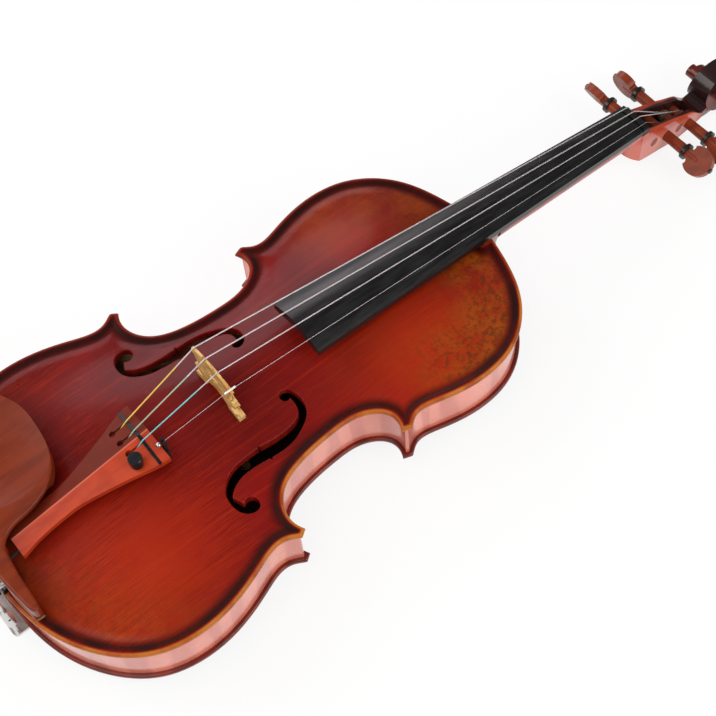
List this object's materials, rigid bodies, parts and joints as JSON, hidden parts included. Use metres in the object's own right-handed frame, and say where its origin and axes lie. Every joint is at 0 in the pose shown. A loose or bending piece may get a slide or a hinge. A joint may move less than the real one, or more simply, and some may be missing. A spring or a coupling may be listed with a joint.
{
  "type": "violin",
  "caption": "Acoustic bowed violin with arched hollow body, scrolled head, turning pegs, bridge, tailpiece with fine tuner and clamped chin rest.",
  "frame": {"origin": "centre of the bounding box across and along, at the lowest point of the arched back", "axes": "+X to the treble side, +Y from the tail to the scroll, +Z from the back up through the belly to the strings"},
  "size_m": [0.2082, 0.5959, 0.0953],
  "materials": {
    "spruce_varnish": "satin",
    "maple_varnish": "gloss",
    "purfling": "satin",
    "raw_spruce": "raw",
    "ebony": "satin",
    "boxwood": "satin",
    "bridge_maple": "satin",
    "string_metal": "satin",
    "winding_silk": "satin",
    "tailgut_cord": "satin",
    "black_metal": "gloss",
    "plated_metal": "gloss",
    "cork": "matt"
  },
  "bodies": {
    "instrument": {"back_linings": "raw_spruce", "back_plate": "maple_varnish", "back_purfling": "purfling", "bass_bar": "raw_spruce", "bridge": "bridge_maple", "chinrest": "boxwood", "chinrest_cork": "cork", "chinrest_rods": "plated_metal", "corner_blocks": "raw_spruce", "end_block": "raw_spruce", "end_button": "boxwood", "fingerboard": "ebony", "lower_rib_bass": "maple_varnish", "lower_rib_treble": "maple_varnish", "neck": "maple_varnish", "neck_block": "raw_spruce", "nut": "ebony", "saddle": "ebony", "soundpost": "raw_spruce", "string_a": "string_metal", "string_d": "string_metal", "string_e": "string_metal", "string_g": "string_metal", "tailgut": "tailgut_cord", "tailpiece": "boxwood", "tailpiece_fret": "ebony", "top_linings": "raw_spruce", "top_plate": "spruce_varnish", "top_purfling": "purfling", "tuner_frame": "black_metal", "tuner_pivot": "plated_metal", "tuner_ring_nut": "black_metal", "upper_rib_bass": "maple_varnish", "upper_rib_treble": "maple_varnish", "waist_rib_bass": "maple_varnish", "waist_rib_treble": "maple_varnish"},
    "peg_g_body": {"peg_g": "boxwood", "peg_trim_g": "ebony", "winding_g": "winding_silk"},
    "peg_e_body": {"peg_e": "boxwood", "peg_trim_e": "ebony", "winding_e": "winding_silk"},
    "peg_d_body": {"peg_d": "boxwood", "peg_trim_d": "ebony", "winding_d": "winding_silk"},
    "peg_a_body": {"peg_a": "boxwood", "peg_trim_a": "ebony", "winding_a": "winding_silk"},
    "tuner_shank_body": {"tuner_shank": "black_metal"},
    "tuner_knob_body": {"tuner_knob": "black_metal"},
    "tuner_lever_body": {"tuner_lever": "black_metal", "tuner_ball": "string_metal"},
    "barrel_bass_body": {"barrel_bass": "plated_metal"},
    "barrel_treble_body": {"barrel_treble": "plated_metal"},
    "clamp_foot_body": {"clamp_foot": "plated_metal", "clamp_cork": "cork"}
  },
  "joints": [
    {"name": "peg_g_turn", "type": "hinge", "parent": "instrument", "child": "peg_g_body", "pos_m": [0, 0.21031, 0.02058], "axis": [-1, 0, 0], "continuous": true},
    {"name": "peg_e_turn", "type": "hinge", "parent": "instrument", "child": "peg_e_body", "pos_m": [0, 0.22279, 0.01685], "axis": [1, 0, 0], "continuous": true},
    {"name": "peg_d_turn", "type": "hinge", "parent": "instrument", "child": "peg_d_body", "pos_m": [0, 0.23598, 0.01291], "axis": [-1, 0, 0], "continuous": true},
    {"name": "peg_a_turn", "type": "hinge", "parent": "instrument", "child": "peg_a_body", "pos_m": [0, 0.24548, 0.01007], "axis": [1, 0, 0], "continuous": true},
    {"name": "tuner_shank_travel", "type": "slide", "parent": "instrument", "child": "tuner_shank_body", "axis": [0, 0, -1], "range_m": [0, 0.00101]},
    {"name": "tuner_knob_turn", "type": "hinge", "parent": "tuner_shank_body", "child": "tuner_knob_body", "pos_m": [0.01245, -0.19248, 0.06952], "axis": [0, 0, -1], "continuous": true},
    {"name": "tuner_lever_tilt", "type": "hinge", "parent": "instrument", "child": "tuner_lever_body", "pos_m": [0.01245, -0.17499, 0.06392], "axis": [1, 0, 0], "range_deg": [0, 6]},
    {"name": "barrel_bass_turn", "type": "hinge", "parent": "instrument", "child": "barrel_bass_body", "pos_m": [-0.02, -0.29453, 0.0305], "axis": [0, 0, 1], "continuous": true},
    {"name": "barrel_treble_turn", "type": "hinge", "parent": "instrument", "child": "barrel_treble_body", "pos_m": [0.02, -0.29453, 0.0305], "axis": [0, 0, 1], "continuous": true},
    {"name": "clamp_foot_slide", "type": "slide", "parent": "instrument", "child": "clamp_foot_body", "axis": [0, 0, -1], "range_m": [0, 0.00301]}
  ],
  "couplings": [
    {"joint": "tuner_knob_turn", "follows": "tuner_shank_travel", "rad_per_m": 12566},
    {"joint": "tuner_lever_tilt", "follows": "tuner_shank_travel", "rad_per_m": 57.143},
    {"joint": "barrel_bass_turn", "follows": "clamp_foot_slide", "rad_per_m": 6283.2},
    {"joint": "barrel_treble_turn", "follows": "clamp_foot_slide", "rad_per_m": 6283.2}
  ]
}
